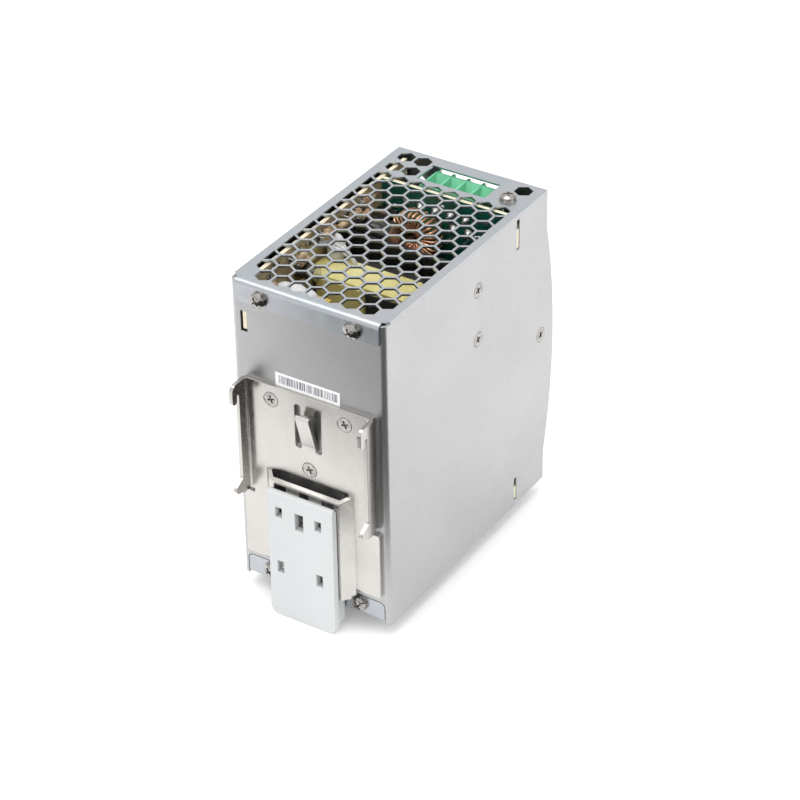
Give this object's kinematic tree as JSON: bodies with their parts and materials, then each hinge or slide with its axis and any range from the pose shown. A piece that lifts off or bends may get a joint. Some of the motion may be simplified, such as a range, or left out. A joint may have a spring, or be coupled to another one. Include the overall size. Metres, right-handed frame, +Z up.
{
  "type": "din rail power supply",
  "caption": "Metal-cased power supply that hooks onto a 35 mm rail, with a sprung latch, screw terminals, honeycomb covers and its circuit inside.",
  "frame": {"origin": "on the rail's centre line, midway across the case, in the plane where the bracket seats on the rail", "axes": "+Z up, +Y out of the rear wall towards the rail, -Y out of the front panel, X across the case"},
  "size_m": [0.063, 0.1234, 0.1338],
  "materials": {
    "case_aluminium": "satin brushed",
    "zinc_steel": "satin zinc plate",
    "label_film": "matt film, blank",
    "sticker_paper": "matt paper with plain bars",
    "nickel_steel": "nickel plate",
    "latch_plastic": "natural white",
    "spring_steel": "bright wire",
    "screw_nickel": "bright nickel",
    "board_tan": "bare laminate",
    "board_green": "solder mask",
    "black_plastic": "moulded epoxy",
    "brass": "turned",
    "sheet_fibre": "pressed fibre",
    "terminal_green": "moulded",
    "tinned_brass": "tin plate",
    "clamp_steel": "zinc plate",
    "pot_plastic": "moulded",
    "rotor_white": "moulded",
    "led_green": "clear tinted",
    "ferrite": "sintered",
    "tape_yellow": "polyester tape",
    "toroid_paint": "epoxy paint",
    "copper_wire": "enamelled copper",
    "sleeve_black": "shrink sleeve",
    "heatsink_black": "black anodised",
    "pad_silicone": "filled silicone",
    "film_yellow": "moulded box",
    "disc_blue": "epoxy dip",
    "fuse_ceramic": "white tube",
    "silicone_white": "cured paste"
  },
  "bodies": {
    "case": {"housing_shell": "case_aluminium", "top_cover": "zinc_steel", "bottom_cover": "zinc_steel", "front_panel": "case_aluminium", "front_label": "label_film", "serial_sticker": "sticker_paper", "din_bracket": "nickel_steel", "latch_spring": "spring_steel", "bracket_screws": "screw_nickel", "cover_screws": "screw_nickel", "side_screws": "screw_nickel", "main_board": "board_tan", "front_board": "board_green", "board_link": "black_plastic", "board_standoffs": "brass", "board_screws": "screw_nickel", "insulation_sheet": "sheet_fibre", "output_terminal_body": "terminal_green", "output_contacts": "tinned_brass", "input_terminal_body": "terminal_green", "input_contacts": "tinned_brass", "trim_pot_body": "pot_plastic", "led_holder": "black_plastic", "status_led": "led_green", "transformer_core": "ferrite", "transformer_winding": "tape_yellow", "boost_choke_core": "ferrite", "boost_choke_winding": "tape_yellow", "toroid_core": "toroid_paint", "toroid_winding": "copper_wire", "toroid_foot": "black_plastic", "bulk_capacitors": "sleeve_black", "output_capacitors": "sleeve_black", "wall_heatsink": "heatsink_black", "thermal_pad": "pad_silicone", "power_transistors": "black_plastic", "output_heatsink": "heatsink_black", "output_rectifiers": "black_plastic", "bridge_rectifier": "black_plastic", "line_choke": "copper_wire", "film_capacitors": "film_yellow", "disc_parts": "disc_blue", "fuse": "fuse_ceramic", "adhesive_blobs": "silicone_white"},
    "latch": {"latch_slider": "latch_plastic"},
    "output_screw_1": {"output_screw_1": "clamp_steel"},
    "output_screw_2": {"output_screw_2": "clamp_steel"},
    "output_screw_3": {"output_screw_3": "clamp_steel"},
    "output_screw_4": {"output_screw_4": "clamp_steel"},
    "output_clamp_1": {"output_clamp_1": "clamp_steel"},
    "output_clamp_2": {"output_clamp_2": "clamp_steel"},
    "output_clamp_3": {"output_clamp_3": "clamp_steel"},
    "output_clamp_4": {"output_clamp_4": "clamp_steel"},
    "input_screw_1": {"input_screw_1": "clamp_steel"},
    "input_screw_2": {"input_screw_2": "clamp_steel"},
    "input_screw_3": {"input_screw_3": "clamp_steel"},
    "input_clamp_1": {"input_clamp_1": "clamp_steel"},
    "input_clamp_2": {"input_clamp_2": "clamp_steel"},
    "input_clamp_3": {"input_clamp_3": "clamp_steel"},
    "trim_pot_rotor": {"trim_pot_rotor": "rotor_white"}
  },
  "joints": [
    {"name": "latch_slide", "type": "slide", "parent": "case", "child": "latch", "axis": [0, 0, -1], "range_m": [0, 0.0035], "stiffness_N_per_m": 900, "springref_m": -0.003, "deforming": ["latch_spring"]},
    {"name": "output_screw_1_turn", "type": "hinge", "parent": "case", "child": "output_screw_1", "pos_m": [-0.01022, -0.111, 0.0472], "axis": [0, 1, 0], "range_deg": [0, 1800]},
    {"name": "output_clamp_1_slide", "type": "slide", "parent": "case", "child": "output_clamp_1", "axis": [0, -1, 0], "range_m": [0, 0.0025]},
    {"name": "output_screw_2_turn", "type": "hinge", "parent": "case", "child": "output_screw_2", "pos_m": [-0.00387, -0.111, 0.0472], "axis": [0, 1, 0], "range_deg": [0, 1800]},
    {"name": "output_clamp_2_slide", "type": "slide", "parent": "case", "child": "output_clamp_2", "axis": [0, -1, 0], "range_m": [0, 0.0025]},
    {"name": "output_screw_3_turn", "type": "hinge", "parent": "case", "child": "output_screw_3", "pos_m": [0.00248, -0.111, 0.0472], "axis": [0, 1, 0], "range_deg": [0, 1800]},
    {"name": "output_clamp_3_slide", "type": "slide", "parent": "case", "child": "output_clamp_3", "axis": [0, -1, 0], "range_m": [0, 0.0025]},
    {"name": "output_screw_4_turn", "type": "hinge", "parent": "case", "child": "output_screw_4", "pos_m": [0.00882, -0.111, 0.0472], "axis": [0, 1, 0], "range_deg": [0, 1800]},
    {"name": "output_clamp_4_slide", "type": "slide", "parent": "case", "child": "output_clamp_4", "axis": [0, -1, 0], "range_m": [0, 0.0025]},
    {"name": "input_screw_1_turn", "type": "hinge", "parent": "case", "child": "input_screw_1", "pos_m": [-0.01022, -0.111, -0.0512], "axis": [0, 1, 0], "range_deg": [0, 1800]},
    {"name": "input_clamp_1_slide", "type": "slide", "parent": "case", "child": "input_clamp_1", "axis": [0, -1, 0], "range_m": [0, 0.0025]},
    {"name": "input_screw_2_turn", "type": "hinge", "parent": "case", "child": "input_screw_2", "pos_m": [-0.00387, -0.111, -0.0512], "axis": [0, 1, 0], "range_deg": [0, 1800]},
    {"name": "input_clamp_2_slide", "type": "slide", "parent": "case", "child": "input_clamp_2", "axis": [0, -1, 0], "range_m": [0, 0.0025]},
    {"name": "input_screw_3_turn", "type": "hinge", "parent": "case", "child": "input_screw_3", "pos_m": [0.00248, -0.111, -0.0512], "axis": [0, 1, 0], "range_deg": [0, 1800]},
    {"name": "input_clamp_3_slide", "type": "slide", "parent": "case", "child": "input_clamp_3", "axis": [0, -1, 0], "range_m": [0, 0.0025]},
    {"name": "trim_pot_turn", "type": "hinge", "parent": "case", "child": "trim_pot_rotor", "pos_m": [0.0216, -0.1095, 0.0494], "axis": [0, 1, 0], "range_deg": [-135, 135]}
  ],
  "couplings": [
    {"joint": "output_screw_1_turn", "follows": "output_clamp_1_slide", "rad_per_m": 12566},
    {"joint": "output_screw_2_turn", "follows": "output_clamp_2_slide", "rad_per_m": 12566},
    {"joint": "output_screw_3_turn", "follows": "output_clamp_3_slide", "rad_per_m": 12566},
    {"joint": "output_screw_4_turn", "follows": "output_clamp_4_slide", "rad_per_m": 12566},
    {"joint": "input_screw_1_turn", "follows": "input_clamp_1_slide", "rad_per_m": 12566},
    {"joint": "input_screw_2_turn", "follows": "input_clamp_2_slide", "rad_per_m": 12566},
    {"joint": "input_screw_3_turn", "follows": "input_clamp_3_slide", "rad_per_m": 12566}
  ]
}
